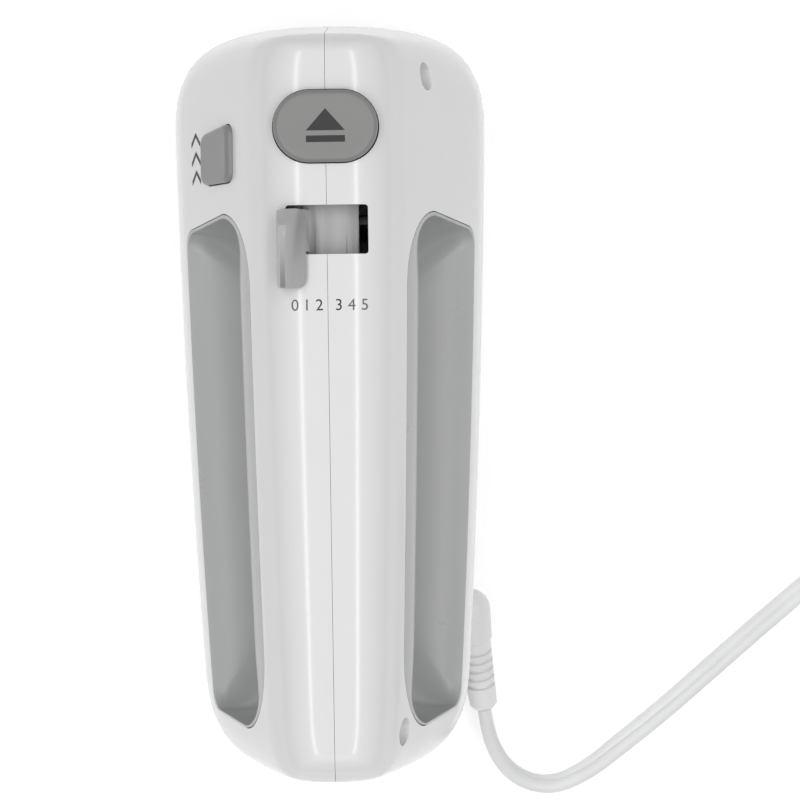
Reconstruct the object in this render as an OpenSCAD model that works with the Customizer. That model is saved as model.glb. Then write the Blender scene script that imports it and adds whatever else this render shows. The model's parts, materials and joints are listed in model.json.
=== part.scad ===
// Electric hand mixer, standing on its flat underside.
// Millimetres. +Z is up, +Y points to the nose, +X is the side that the lead leaves from.
// The origin is the middle of the underside.

/* [Body] */
// Length of the housing, nose to tail
body_len = 205; // [195:1:250]
// Width of the housing where it is widest, near the nose
body_w = 85.8; // [80:0.2:104]
// Width of the housing at the tail, as a share of the nose
tail_share = 0.8; // [0.76:0.01:0.88]
// Height of the housing, underside to crown
body_h = 130; // [126:1:158]
// Width of the white crown, where the grey liner starts
crown_w = 42.6; // [38:0.2:46]
// How far the crown line falls from its highest point to the tail
crown_fall = 5; // [0:0.5:8]
// Wall of the housing
wall = 2.4; // [2:0.1:3]

/* [Grip] */
// Height of the finger opening's floor above the underside
deck_z = 76; // [74:0.5:80]
// Depth of the white crown above the grey liner
crown_depth = 12; // [10:0.5:14]
// Depth of the whole handle, crown to grey underside
grip_depth = 27; // [25:0.5:30]
// Setback of the opening's front end from the nose
grip_front = 53.5; // [52:0.5:60]
// Setback of the opening's rear end from the tail
grip_rear = 16; // [15:0.5:22]
// Wall of the grey liner
liner_wall = 2; // [1.6:0.1:2.4]

/* [Controls] */
// Length of the eject button across the nose
eject_w = 27; // [23:0.5:30]
// Width of the eject button, nose to tail
eject_d = 18.6; // [16:0.2:20]
// Travel of the eject button
eject_travel = 6; // [4:0.5:6]
// Setback of the eject button and the beater sockets from the nose
spindle_setback = 32.5; // [31:0.5:36]
// Width of the speed slot
slot_w = 21.2; // [18:0.2:23]
// Length of the speed slot, nose to tail
slot_d = 12.7; // [11:0.2:14]
// Setback of the speed slot's middle from the nose
slot_setback = 59; // [58:0.5:62]
// Swing of the speed lever, off to full speed
lever_swing = 36; // [30:1:40]
// Side of the turbo button along the body
turbo_w = 14.4; // [12:0.2:16]
// Height of the turbo button on the flank
turbo_h = 19; // [16:0.5:20]
// Travel of the turbo button
turbo_travel = 2; // [1.5:0.1:2.5]

/* [Drive] */
// Height of the motor shaft above the underside
shaft_z = 40; // [38:0.5:42]
// Radius of the motor shaft
shaft_r = 4; // [3.5:0.1:4.4]
// Distance between the two beater sockets
socket_gap = 36; // [34:0.5:40]
// Radius of the bore that takes a beater
socket_r = 3.1; // [2.8:0.05:3.4]
// Teeth on each worm wheel
wheel_teeth = 28; // [24:1:32]
// Outer size of the square motor core
core_w = 50; // [46:1:54]
// Length of the motor core
core_len = 24; // [20:1:28]

/* [Lead] */
// Width of the flat twin lead
lead_w = 6.3; // [5.8:0.1:6.8]
// Thickness of the flat lead, across its two cores
lead_t = 3.8; // [3.4:0.1:4.2]

/* [Hidden] */

fine = 64;
small = 32;
nose_y = body_len / 2;
tail_y = -body_len / 2;
half_w = body_w / 2;
tail_half = half_w * tail_share;

// ---- the outer form: rings stacked from the crown down to the foot ----
// Points on a cubic curve, without its last one.
function cubic(a, b, c, d, n) = [for (i = [0:n - 1]) let (t = i / n, s = 1 - t)
  s * s * s * a + 3 * s * s * t * b + 3 * s * t * t * c + t * t * t * d];

split_z = body_h - crown_depth;
waist_z = deck_z - 1;
waist_x = half_w - 3.6;
widest_z = deck_z - 20;
flank_run = waist_x - crown_w / 2;
flank_dir = [flank_run, waist_z - split_z] / norm([flank_run, waist_z - split_z]);
// Half width of the straight flank at height z, at full width.
function flank_x(z) = crown_w / 2 + (split_z - z) * flank_run / (split_z - waist_z);

crown_start = 5;
hip_in = 4.6;
// Half outline of the cross-section, crown to foot, drawn in by g.
function section(g) = let (
    shoulder = [crown_w / 2 - g * 1.08, split_z],
    waist = [waist_x - g * 1.08, waist_z],
    side = [half_w - g, widest_z],
    hip = [half_w - hip_in - g, 12],
    foot = [half_w - 12, g])
  concat(
    cubic([crown_start, body_h - g - 0.1], [12.5, body_h - g], shoulder - (8 - g) * flank_dir, shoulder, 6),
    cubic(shoulder, shoulder + 13 * flank_dir, waist - 13 * flank_dir, waist, 3),
    cubic(waist, waist + 7 * flank_dir, side + [0, 7], side, 3),
    cubic(side, side - [0, 12], hip + [0.8, 12], hip, 3),
    cubic(hip, hip - [0.6, 7 - g], foot + [6, 0], foot, 4),
    [foot]);

lean = 8.6;
crease_r = 5;
tail_lean = 3.4;
tail_r = 9;
foot_r = 13;
// Set-back of a quarter-round edge of radius r, d below the edge's face.
function edge_in(d, r) = d >= r ? 0 : r - sqrt(r * r - (r - d) * (r - d));
function rise(z) = max(0, (z - widest_z) / (body_h - widest_z));
// The front and rear faces on the centre line, at height z.
function front(z, g) = nose_y - g - lean * rise(z)
  - edge_in(body_h - g - z, crease_r) - edge_in(z - g, foot_r);
function rear(z, g) = tail_y + g + tail_lean * rise(z)
  + edge_in(body_h - g - z, tail_r) + edge_in(z - g, foot_r);
// The plan of the nose and the tail falls back towards the sides.
function nose_fall(x) = 19 * (1 - pow(1 - pow(min(x / (half_w + 0.4), 1), 2.3), 1 / 2.3));
function tail_fall(x) = 17 * (1 - sqrt(1 - pow(min(x / (tail_half + 0.4), 1), 2)));
// Share of the full width at station y: a slow curve from the nose to the tail.
function taper(y) = let (s = (nose_y - y) / body_len) 1 - (1 - tail_share) * (0.3 * s + 0.7 * s * s);

bow_len = 45;
corner_angles = [0, 4, 12, 24, 40, 56, 70, 82, 89.1, 90];
corner_power = 1 / 4;
straight = [0.12, 0.36, 0.62, 0.86];
crown_top_y = 10;
// The crown line is bowed: everything above the widest level sinks towards nose and tail.
function sink(y, z) = let (s = min(max((z - widest_z) / (split_z - widest_z), 0), 1))
  crown_fall * pow((y - crown_top_y) / (body_len / 2 + crown_top_y), 2) * s * s * (3 - 2 * s);
function bowed(p) = [p[0], p[1], p[2] - sink(p[1], p[2])];

function nose_point(a, x, z, g) = let (
    f = pow(cos(a), corner_power),
    v = pow(sin(a), corner_power),
    y0 = nose_y - bow_len,
    y = y0 + (front(z, g) - nose_fall(f * x) - y0) * v)
  bowed([f * x * taper(y), y, z]);
function tail_point(a, x, z, g) = let (
    f = pow(cos(a), corner_power),
    v = pow(sin(a), corner_power),
    y0 = tail_y + bow_len,
    y = y0 + (rear(z, g) + tail_fall(f * x * tail_share) - y0) * v)
  bowed([f * x * taper(y), y, z]);
// One level of the form, from the front centre round the right side to the rear centre.
function ring(x, z, g) = concat(
  [for (i = [len(corner_angles) - 1:-1:0]) nose_point(corner_angles[i], x, z, g)],
  [for (s = straight) let (y = nose_y - bow_len - s * (body_len - 2 * bow_len))
    bowed([x * taper(y), y, z])],
  [for (a = corner_angles) tail_point(a, x, z, g)]);
// Half width of the form at station y and height z, by looking along a level.
function width_at(z) = lookup(z, [for (p = section(0)) [p[1], p[0]]]);
function shell_x(y, z) = lookup(y, [for (p = ring(width_at(z), z, 0)) [p[1], p[0]]]);
// The same level drawn in to the centre plane, to close the top or the foot.
function seam_row(row, dz) = [for (p = row) [0, p[1] * 0.997, p[2] + dz]];
function levels(g) = let (s = section(g), rows = [for (p = s) ring(p[0], p[1], g)])
  concat([seam_row(rows[0], 0.1)], rows, [seam_row(rows[len(rows) - 1], 0)]);

// A skin over rows of points. The rows close on themselves; the row ends are flat caps.
module skin(rows, closed_ends = false) {
  j_n = len(rows);
  k_n = len(rows[0]);
  steps = closed_ends ? k_n : k_n - 1;
  quads = [for (j = [0:j_n - 1], k = [0:steps - 1])
    let (a = j * k_n + k, b = j * k_n + (k + 1) % k_n,
      c = ((j + 1) % j_n) * k_n + (k + 1) % k_n, d = ((j + 1) % j_n) * k_n + k)
    each [[a, b, c], [a, c, d]]];
  caps = closed_ends ? [] : [
    [for (j = [0:j_n - 1]) j * k_n],
    [for (j = [j_n - 1:-1:0]) j * k_n + k_n - 1]];
  polyhedron(points = [for (r = rows) each r], faces = concat(quads, caps), convexity = 10);
}

function reversed(list) = [for (i = [len(list) - 1:-1:0]) list[i]];
// The right half of the empty shell.
module half_shell() skin(reversed(concat(levels(0), reversed(levels(wall)))));

// ---- the finger opening: an outer loop on the flanks and a clear loop through the middle ----
// An arc of an oval corner in the (y, z) plane, from angle a0 to a1.
corner_steps = 5;
function oval_arc(c, r, a0, a1) = [for (i = [0:corner_steps])
  let (a = a0 + (a1 - a0) * i / corner_steps) c + [r[0] * cos(a), r[1] * sin(a)]];
edge_steps = 4;
function between(p, q) = [for (i = [1:edge_steps - 1]) p + (q - p) * i / edge_steps];
// A closed loop with four oval corners: front top, front foot, rear foot, rear top.
function loop(yf, yr, zt, zb, ft, ff, rf, rt) = let (
    a = oval_arc([yf - ft[0], zt - ft[1]], ft, 90, 0),
    b = oval_arc([yf - ff[0], zb + ff[1]], ff, 0, -90),
    c = oval_arc([yr + rf[0], zb + rf[1]], rf, -90, -180),
    d = oval_arc([yr + rt[0], zt - rt[1]], rt, 180, 90))
  concat(a, b, between(b[corner_steps], c[0]), c, d, between(d[corner_steps], a[0]));

grip_yf = nose_y - grip_front;
grip_yr = tail_y + grip_rear;
apex_z = split_z - 18;
rim_drop = 3;
rim_slant = 2.6;
// The ends of the outer loop lean in below their foremost points.
function slanted(p) = p[1] >= apex_z ? p
  : [p[0] - sign(p[0] - (grip_yf + grip_yr) / 2) * rim_slant * (apex_z - p[1]) / 20, p[1]];
function rim_loop(o) = [for (p = loop(grip_yf + o, grip_yr - o, split_z + o, deck_z - rim_drop - o,
  [20 + o, 18 + o], [4 + o, 4 + o], [4 + o, 4 + o], [20 + o, 18 + o])) slanted(p)];
end_wall_front = 9;
end_wall_rear = 5;
function clear_loop(o) = loop(grip_yf - end_wall_front + o, grip_yr + end_wall_rear - o,
  body_h - grip_depth + o, deck_z - o, [11 + o, 9 + o], [14 + o, 14 + o], [30 + o, 15 + o], [18 + o, 9 + o]);

liner_reach = 20;
function mix(a, b, t) = a + (b - a) * t;
function bend3(a, b, c, t) = (1 - t) * (1 - t) * a + 2 * t * (1 - t) * b + t * t * c;
function on_flank(p) = [flank_x(p[1]) * taper(p[0]), p[0], p[1]];
// One cut through the liner, from the rim on the flank in to the centre plane and back outside.
function liner_cut(p, q, p_out, q_out) = let (
    hug = min(max((p[1] - apex_z) / (split_z - apex_z), 0), 1),
    rim = on_flank(p),
    lip = on_flank(mix(p, q, 0.1)),
    turn = hug * on_flank(q) + (1 - hug) * (rim - [7, 0, 0]),
    reach = liner_reach * taper(q[0]),
    inner = [reach, q[0], q[1]])
  [for (v = [rim, lip, bend3(lip, turn, inner, 0.25), bend3(lip, turn, inner, 0.5),
    bend3(lip, turn, inner, 0.75), inner, [0, q[0], q[1]],
    [0, q_out[0], q_out[1]], [reach - 2, q_out[0], q_out[1]],
    [rim[0] - wall - 1.7, p_out[0], p_out[1]], rim - [wall + 0.8, 0, 0]]) bowed(v)];
function liner_rows() = let (
    p = rim_loop(0), q = clear_loop(0), p_out = rim_loop(liner_wall), q_out = clear_loop(liner_wall),
    cuts = [for (i = [0:len(p) - 1]) liner_cut(p[i], q[i], p_out[i], q_out[i])])
  [for (j = [0:len(cuts[0]) - 1]) [for (c = cuts) c[j]]];
module half_liner() skin(liner_rows(), closed_ends = true);

// ---- helpers ----
module mirrored() mirror([1, 0, 0]) children();
// Extrudes a shape drawn in (y, z) along X, from x0 to x1.
module along_x(x0, x1) translate([x0, 0, 0]) rotate([90, 0, 90]) linear_extrude(x1 - x0) children();
// Extrudes a shape drawn in (x, z) along Y, from y0 to y1.
module along_y(y0, y1) translate([0, y1, 0]) rotate([90, 0, 0]) linear_extrude(y1 - y0) children();
module box(x, y, z) translate([x[0], y[0], z[0]]) cube([x[1] - x[0], y[1] - y[0], z[1] - z[0]]);
module rod_x(r, x0, x1, y, z) translate([x0, y, z]) rotate([0, 90, 0]) cylinder(r = r, h = x1 - x0, $fn = small);
module rod_y(r, y0, y1, x = 0, z = shaft_z)
  translate([x, y0, z]) rotate([-90, 0, 0]) cylinder(r = r, h = y1 - y0, $fn = fine);
module rod_z(r, z0, z1, x, y) translate([x, y, z0]) cylinder(r = r, h = z1 - z0, $fn = fine);
module round_rect(w, d, r) {
  square([w - 2 * r, d], center = true);
  square([w, d - 2 * r], center = true);
  for (sx = [-1, 1], sy = [-1, 1])
    translate([sx * (w / 2 - r), sy * (d / 2 - r)]) circle(r = r, $fn = small);
}
module long_round(w, d) {
  square([w - d, d], center = true);
  for (s = [-1, 1]) translate([s * (w - d) / 2, 0]) circle(d = d, $fn = fine);
}
// A wire coil along Z, as one swept skin.
module coil_spring(r, wire, turns, h) {
  steps = turns * 12;
  skin([for (j = [0:5]) [for (k = [0:steps])
    let (a = 360 * k / 12, b = -60 * j, rr = r + wire * cos(b))
    [rr * cos(a), rr * sin(a), wire + (h - 2 * wire) * k / steps + wire * sin(b)]]]);
}

// ---- places shared between pieces ----
gap = 0.3;
snug = 0.05;
spindle_y = nose_y - spindle_setback;
spindle_x = socket_gap / 2;
slot_y = nose_y - slot_setback;
function crown_z(y) = body_h - sink(y, body_h);
function flank_at(y, z) = flank_x(z) * taper(y);

eject_rise = 2.6;
eject_deep = 6;
column_w = 8;
plate_z = 64;
lever_arm = 27.5;
lever_z = crown_z(slot_y) - lever_arm;
turbo_y = nose_y - 38;
turbo_z = split_z - 20;
turbo_x = -flank_at(turbo_y, turbo_z);
turbo_r = 3;
turbo_slant = 6;
// Outline of the turbo button in (y, z), grown by o. Its front edge leans forward towards the crown.
function turbo_outline(o) = let (
    r = [turbo_r + o, turbo_r + o],
    h = turbo_h / 2 - turbo_r,
    yf = turbo_y + turbo_w / 2 - turbo_r,
    yr = turbo_y - turbo_w / 2 + turbo_r)
  concat(oval_arc([yf + h * tan(turbo_slant), turbo_z + h], r, 90, -turbo_slant),
    oval_arc([yf - h * tan(turbo_slant), turbo_z - h], r, -turbo_slant, -90),
    oval_arc([yr, turbo_z - h], r, -90, -180), oval_arc([yr, turbo_z + h], r, 180, 90));

// Screws that close the housing: place along Y, height, and inset of the flank there.
post_r = 5;
post_short = 0.2;
screw_r = 1.5;
head_r = 3.3;
recess_r = 3.7;
function post(y, z) = [y, z - sink(y, z), shell_x(y, z), z];
posts = [post(nose_y - 18, split_z - 13), post(tail_y + 15.5, split_z - 2),
  post(nose_y - 9, 24), post(tail_y + 12, 24), post(-22, 9)];
seat_deep = 7;

relief_y = tail_y + 42.5;
relief_z = 26;
relief_x = shell_x(relief_y, relief_z) + 1;
plug_r = 4.4;
vent_w = 2.6;
vent_step = 6;
vent_in = 7.5;
vent_out = 22.5;

module grip_cut() along_x(6, half_w + 10) polygon([for (p = rim_loop(0.25))
  [p[0], p[1] - sink(p[0], p[1])]]);
module socket_cut() rod_z(socket_r + 4.4, -1, wall + 1, spindle_x, spindle_y);
// A row of round-ended slots through the underside.
module vents(y0, y1) for (y = [y0:vent_step:y1]) translate([0, y, -1]) linear_extrude(wall + 2) hull() {
  translate([vent_in, 0]) circle(d = vent_w, $fn = small);
  translate([vent_out, 0]) circle(d = vent_w, $fn = small);
}
module control_cuts() {
  translate([0, spindle_y, body_h - 20]) linear_extrude(30) long_round(eject_w + 2 * gap, eject_d + 2 * gap);
  translate([0, slot_y, body_h - 12]) linear_extrude(30) round_rect(slot_w, slot_d, 0.8);
}
module turbo_hole() along_x(-half_w, -12) polygon(turbo_outline(gap));
// Each post stops just short of the seam, and ends on a plane that follows the flank there, half a wall inside it.
module posts_solid() for (p = posts) {
  slope_y = (shell_x(p[0] + post_r, p[3]) - shell_x(p[0] - post_r, p[3])) / (2 * post_r);
  slope_z = (shell_x(p[0], p[3] + post_r) - shell_x(p[0], p[3] - post_r)) / (2 * post_r);
  intersection() {
    rod_x(post_r, post_short, half_w + 5, p[0], p[1]);
    translate([p[2] - wall / 2, p[0], p[1]]) rotate([0, atan(slope_z), -atan(slope_y)])
      translate([-60, -30, -30]) cube([60, 60, 60]);
  }
}

module housing_half() {
  difference() {
    union() {
      half_shell();
      posts_solid();
    }
    grip_cut();
    socket_cut();
    vents(tail_y + 39, tail_y + 70);
    vents(nose_y - 65, nose_y - 58);
    control_cuts();
    children();
  }
}
module left_housing() color("white") mirrored() housing_half() {
  for (p = posts) rod_x(screw_r + 0.1, -1, p[2] - seat_deep + 1, p[0], p[1]);
  mirrored() turbo_hole();
}
module right_housing() color("white") housing_half() {
  for (p = posts) {
    rod_x(screw_r + gap, -1, p[2], p[0], p[1]);
    rod_x(recess_r, p[2] - seat_deep, half_w + 10, p[0], p[1]);
  }
  rod_x(plug_r + gap, relief_x - 8, relief_x + 8, relief_y, relief_z);
}
module right_grip_liner() color("darkgray") half_liner();
module left_grip_liner() color("darkgray") mirrored() half_liner();

module housing_screws() color("silver") for (p = posts) {
  rod_x(screw_r, 9 - p[2], p[2] - seat_deep + 1, p[0], p[1]);
  difference() {
    rod_x(head_r, p[2] - seat_deep, p[2] - seat_deep + 2.2, p[0], p[1]);
    translate([p[2] - seat_deep + 2.2, p[0], p[1]]) cube([2, 4, 0.9], center = true);
    translate([p[2] - seat_deep + 2.2, p[0], p[1]]) cube([2, 0.9, 4], center = true);
  }
}

// ---- eject mechanism ----
eject_top = crown_z(spindle_y) + eject_rise;
eject_floor = crown_z(spindle_y) - eject_deep;
column_top = eject_floor - 14;
frame_z = plate_z + 25;
bridge_z = plate_z + eject_travel + 2;
pin_r = 1.9;
module eject_button() color("gray") {
  translate([0, spindle_y, eject_floor]) linear_extrude(eject_top - eject_floor - 0.9)
    long_round(eject_w, eject_d);
  translate([0, spindle_y, eject_top - 0.9]) linear_extrude(0.9) long_round(eject_w - 1.4, eject_d - 1.4);
  translate([-3, spindle_y - 3, column_top]) cube([6, 6, eject_floor - column_top + 1]);
}
module eject_pusher() color("gainsboro") {
  translate([-column_w / 2, spindle_y - column_w / 2, bridge_z + 3])
    cube([column_w, column_w, column_top - bridge_z - 3]);
  translate([-spindle_x - 4, spindle_y - 4, bridge_z]) cube([2 * spindle_x + 8, 8, 4]);
  for (s = [-1, 1]) rod_z(pin_r, shaft_z + 8, bridge_z + 1, s * spindle_x, spindle_y);
}
// A plate over the gearbox that guides the pusher and carries the two switches.
leg_x = 14;
leg_y = nose_y - 19;
module eject_guide() color("gainsboro") {
  difference() {
    box([-20, 20], [slot_y + 8.5, leg_y + 3], [frame_z, frame_z + 3]);
    translate([0, spindle_y, frame_z]) cube([column_w + 2 * gap, column_w + 2 * gap, 10], center = true);
  }
  for (s = [-1, 1]) rod_z(2.5, plate_z, frame_z + 0.5, s * leg_x, leg_y);
  for (s = [-1, 1]) rod_z(2.5, plate_z, frame_z + 0.5, s * 8, slot_y + 14);
}
module eject_spring() color("silver") translate([0, spindle_y, frame_z + 3])
  coil_spring(6.6, 0.6, 6, eject_floor - frame_z - 3);

// ---- speed lever: a fin on a drum that turns about a lengthwise pivot ----
drum_r = 20;
drum_wall = 1.8;
drum_half = 60 - lever_swing / 2;
fin_base = 29.6;
fin_top = 36.6;
fin_front = slot_y + 5.3;
fin_rear = slot_y - 15;
function wedge(r, a0, a1) = concat([[0, 0]],
  [for (i = [0:2]) let (a = a0 + (a1 - a0) * i / 2) [1.6 * r * sin(a), 1.6 * r * cos(a)]]);
module lever_frame() translate([0, 0, lever_z]) rotate([0, -lever_swing / 2, 0]) children();
module sector(r1, r0, y0, y1) along_y(y0, y1) intersection() {
  difference() {
    circle(r = r1, $fn = fine);
    circle(r = r0, $fn = fine);
  }
  polygon(wedge(r1, -drum_half, drum_half));
}
module speed_lever() color("gray") lever_frame() {
  sector(drum_r, drum_r - drum_wall, slot_y - 7, slot_y + 7);
  difference() {
    union() {
      for (y = [slot_y - 1, slot_y + 4.5]) sector(drum_r - drum_wall / 2, 2, y, y + 2);
      rod_y(4, slot_y - 1, slot_y + 6.5, 0, 0);
    }
    rod_y(2 + snug, slot_y - 5, slot_y + 10, 0, 0);
  }
  box([-1.7, 1.7], [slot_y - 5.4, slot_y + 5.4], [drum_r - 1, fin_base + 1]);
  intersection() {
    along_y(fin_rear, fin_front) polygon([[-4, fin_base], [4, fin_base], [1.5, fin_top - 1],
      [0.7, fin_top], [-0.7, fin_top], [-1.5, fin_top - 1]]);
    along_x(-10, 10) polygon([[fin_rear, fin_base], [fin_front, fin_base], [fin_front, fin_base + 2],
      [slot_y + 1, fin_top - 0.6], [slot_y - 2, fin_top], [fin_rear, fin_top]]);
    translate([0, (fin_rear + fin_front) / 2, 0]) linear_extrude(2 * fin_top)
      round_rect(8, fin_front - fin_rear, 2.4);
  }
}
module lever_pivot() color("silver") rod_y(2, slot_y - 1.5, slot_y + 10, 0, lever_z);
module speed_switch() color("black") difference() {
  box([-11, 11], [slot_y + 8.5, slot_y + 18], [frame_z + 3, lever_z + 7]);
  rod_y(2 + snug, slot_y + 8, slot_y + 10.5, 0, lever_z);
}
module switch_contacts() color("gold") for (x = [-9, -5.4, -1.8, 1.8, 5.4])
  box([x, x + 1.6], [slot_y + 18, slot_y + 19.4], [frame_z + 5, frame_z + 12]);

// ---- turbo button on the left flank ----
button_deep = 7;
module turbo_button() color("gray") intersection() {
  along_x(turbo_x - 8, turbo_x + button_deep) polygon(turbo_outline(0));
  translate([turbo_x - 1.5, 0, turbo_z]) rotate([0, atan2(flank_run, split_z - waist_z), 0])
    translate([0, turbo_y - 20, -40]) cube([60, 40, 80]);
}
switch_x = turbo_x + button_deep + 4.5;
plunger_r = 2;
module turbo_plunger() color("white")
  rod_x(plunger_r, turbo_x + button_deep, switch_x + 1.5, turbo_y, turbo_z);
module turbo_switch() color("black") difference() {
  box([switch_x, switch_x + 7], [turbo_y - 3, turbo_y + 4], [frame_z + 3, turbo_z + 6]);
  rod_x(plunger_r + snug, switch_x - 1, switch_x + 2 + turbo_travel, turbo_y, turbo_z);
}

// ---- motor ----
core_y = spindle_y - 58;
core_r = 15.4;
armature_r = 14.8;
bolt_at = core_w / 2 - 4;
bolt_r = 1.7;
window_x = 19;
window_z = 9;
module core_outline() difference() {
  round_rect(core_w, core_w, 5);
  circle(r = core_r, $fn = fine);
  for (sx = [-1, 1], sz = [-1, 1]) {
    translate([sx * window_x, sz * window_z]) square([7, 9], center = true);
    translate([sx * bolt_at, sz * bolt_at]) circle(r = bolt_r + 0.1, $fn = small);
  }
}
module stator_core() color("dimgray") translate([0, 0, shaft_z])
  along_y(core_y - core_len / 2, core_y + core_len / 2) core_outline();
coil_end = 6;
module field_coils() color("chocolate") for (sz = [-1, 1]) translate([0, 0, shaft_z]) {
  for (sx = [-1, 1]) translate([sx * window_x, 0, sz * window_z])
    box([-3.2, 3.2], [core_y - core_len / 2 - coil_end, core_y + core_len / 2 + coil_end], [-4.2, 4.2]);
  for (y = [core_y - core_len / 2 - coil_end, core_y + core_len / 2 + 0.2]) difference() {
    translate([0, 0, sz * window_z]) union() {
      box([-window_x - 3.2, window_x + 3.2], [y, y + coil_end - 0.2], [-4.2, 4.2]);
      translate([0, 0, sz * 7]) box([-14, 14], [y, y + coil_end - 0.2], [-3.5, 3.5]);
    }
    rod_y(core_r + 0.6, y - 1, y + coil_end + 1, 0, 0);
  }
}
module armature_core() color("dimgray") translate([0, 0, shaft_z])
  along_y(core_y - core_len / 2, core_y + core_len / 2) difference() {
    circle(r = armature_r, $fn = fine);
    circle(r = shaft_r, $fn = fine);
    for (a = [0:30:330]) rotate(a) translate([armature_r - 1, 0]) square([7, 1.6], center = true);
  }
module armature_winding() color("chocolate") for (s = [-1, 1])
  translate([0, core_y + s * core_len / 2, shaft_z]) rotate([-90 * s, 0, 0]) rotate_extrude($fn = fine)
    polygon([[shaft_r, 0], [armature_r - 1.6, 0], [armature_r - 1.2, 3], [armature_r - 3, 6.4], [shaft_r, 6.4]]);
commutator_y = core_y - core_len / 2 - 17;
module commutator() color("peru") difference() {
  rod_y(9.5, commutator_y - 7, commutator_y + 7);
  rod_y(shaft_r, commutator_y - 8, commutator_y + 8);
  translate([0, 0, shaft_z]) for (a = [0:22.5:337.5]) rotate([0, a, 0])
    box([8.8, 10.5], [commutator_y - 8, commutator_y + 5], [-0.25, 0.25]);
}
fan_y = core_y + core_len / 2 + 16;
fan_r = 23;
module cooling_fan() color("whitesmoke") difference() {
  union() {
    rod_y(8, fan_y - 1, fan_y + 7);
    rod_y(fan_r, fan_y - 1, fan_y + 0.6);
    translate([0, 0, shaft_z]) for (a = [0:36:324]) rotate([0, a, 0])
      box([7, fan_r - 1], [fan_y, fan_y + 7], [-0.7, 0.7]);
  }
  rod_y(shaft_r, fan_y - 2, fan_y + 8);
}

// ---- worm and wheels ----
worm_pitch_r = 4.6;
wheel_pitch_r = socket_gap / 2 - worm_pitch_r;
lead_step = 2 * PI * wheel_pitch_r / wheel_teeth;
tooth_out = 0.7;
worm_root_r = 3.4;
worm_half = 13;
thread_steps = 16;
module worm_thread() {
  turns = 2 * worm_half / lead_step - 1;
  steps = round(turns * thread_steps);
  half_root = lead_step * 0.3;
  half_tip = lead_step * 0.12;
  shape = [[worm_root_r - 0.4, -half_root], [worm_root_r - 0.4, half_root],
    [worm_pitch_r + tooth_out, half_tip], [worm_pitch_r + tooth_out, -half_tip]];
  skin([for (q = shape) [for (k = [0:steps])
    let (a = 360 * (k - steps / 2) / thread_steps)
    [q[0] * cos(a), q[0] * sin(a), lead_step * a / 360 + q[1]]]]);
}
rear_bush_y = commutator_y - 18;
wall_y = spindle_y - 20;
front_y = spindle_y + 14;
module worm_shaft() color("silver") {
  rod_y(shaft_r, rear_bush_y - 1, spindle_y - worm_half);
  rod_y(worm_root_r, spindle_y - worm_half, front_y);
  rod_y(3, front_y, front_y + 5);
  translate([0, spindle_y, shaft_z]) rotate([-90, 0, 0]) worm_thread();
}
module rear_shaft_bush() color("goldenrod") difference() {
  rod_y(7, rear_bush_y, rear_bush_y + 5);
  rod_y(shaft_r + snug, rear_bush_y - 1, rear_bush_y + 6);
}
module front_shaft_bush() color("goldenrod") {
  difference() {
    rod_y(7.5, wall_y, wall_y + 4);
    rod_y(shaft_r + snug, wall_y - 1, wall_y + 5);
  }
  difference() {
    rod_y(6, front_y, front_y + 4);
    rod_y(3 + snug, front_y - 1, front_y + 5);
  }
}
wheel_half = 7;
tooth_half = 4;
module wheel_outline(turn) difference() {
  union() {
    circle(r = wheel_pitch_r - tooth_out - 0.6, $fn = fine);
    for (i = [0:wheel_teeth - 1]) rotate(turn + 360 * i / wheel_teeth)
      polygon([[wheel_pitch_r - 2.4, -0.85], [wheel_pitch_r, -0.5], [wheel_pitch_r + tooth_out, -0.25],
        [wheel_pitch_r + tooth_out, 0.25], [wheel_pitch_r, 0.5], [wheel_pitch_r - 2.4, 0.85]]);
  }
  circle(r = spindle_r, $fn = fine);
}
spindle_r = 5;
module worm_wheel(x, turn) translate([x, spindle_y, shaft_z]) {
  translate([0, 0, -tooth_half]) linear_extrude(2 * tooth_half) wheel_outline(turn);
  for (s = [0, 1]) mirror([0, 0, s]) translate([0, 0, tooth_half]) linear_extrude(wheel_half - tooth_half)
    difference() {
      circle(r = 8.4, $fn = fine);
      circle(r = spindle_r, $fn = fine);
    }
}
module right_worm_wheel() color("ivory") worm_wheel(spindle_x, 180 + 180 / wheel_teeth);
module left_worm_wheel() color("ivory") worm_wheel(-spindle_x, 0);
spindle_foot = 1.2;
module beater_spindle(x) color("silver") difference() {
  union() {
    rod_z(spindle_r, spindle_foot, plate_z, x, spindle_y);
    rod_z(spindle_r + 1.6, spindle_foot, 6, x, spindle_y);
  }
  rod_z(socket_r, 0, shaft_z + 4, x, spindle_y);
  rod_z(pin_r + 0.2, shaft_z, plate_z + 1, x, spindle_y);
}
module left_beater_spindle() beater_spindle(-spindle_x);
module right_beater_spindle() beater_spindle(spindle_x);
bush_r = 7.6;
floor_z = 7;
module spindle_bush(x, z) color("goldenrod") difference() {
  rod_z(bush_r, z, z + 4, x, spindle_y);
  rod_z(spindle_r + snug, z - 1, z + 5, x, spindle_y);
}
module left_lower_bush() spindle_bush(-spindle_x, floor_z);
module right_lower_bush() spindle_bush(spindle_x, floor_z);
module left_upper_bush() spindle_bush(-spindle_x, plate_z - 4);
module right_upper_bush() spindle_bush(spindle_x, plate_z - 4);

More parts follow.
